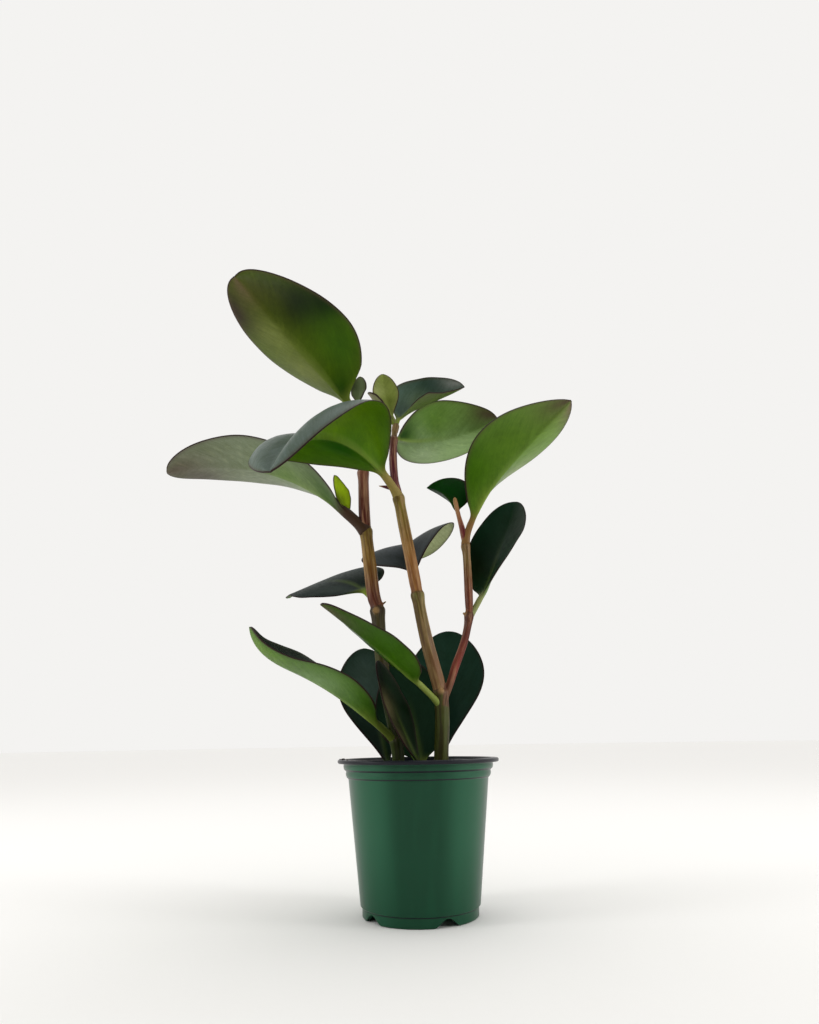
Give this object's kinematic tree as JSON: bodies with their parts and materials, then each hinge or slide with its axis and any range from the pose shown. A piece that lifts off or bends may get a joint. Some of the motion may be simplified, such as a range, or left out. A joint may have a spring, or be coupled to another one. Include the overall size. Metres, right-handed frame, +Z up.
{
  "type": "potted peperomia plant",
  "caption": "Upright houseplant with two thick stems and fleshy oval leaves, growing in a tapered round nursery pot with a rolled lip and drain notches at its foot.",
  "frame": {"origin": "middle of the pot's base, on the surface the pot stands on", "axes": "+Z up along the pot's axis; +X to the right and -Y towards the viewer when the plant is seen from its front, the side with the large arching leaf"},
  "size_m": [0.2857, 0.1983, 0.3998],
  "materials": {
    "pot": "satin",
    "soil": "matte",
    "stem": "satin",
    "leaf": "satin",
    "young_leaf": "satin"
  },
  "bodies": {
    "root": {"pot": "pot", "soil": "soil", "stem_left": "stem", "stem_middle": "stem", "leaf_top_left": "leaf", "leaf_left_long": "leaf", "leaf_front_arching": "leaf", "leaf_top_right": "leaf", "leaf_right_middle": "leaf", "leaf_right_high": "leaf", "leaf_right_small": "leaf", "leaf_right_dark": "leaf", "leaf_back_middle": "leaf", "leaf_back_left": "leaf", "leaf_front_pointed": "leaf", "leaf_low_left": "leaf", "leaf_low_round_left": "leaf", "leaf_low_round_right": "leaf", "leaf_low_narrow": "leaf", "leaf_low_middle": "leaf", "tip_leaf_left": "young_leaf", "axil_leaf": "young_leaf", "bud_leaf_front": "young_leaf", "bud_leaf_side": "young_leaf"}
  },
  "joints": []
}
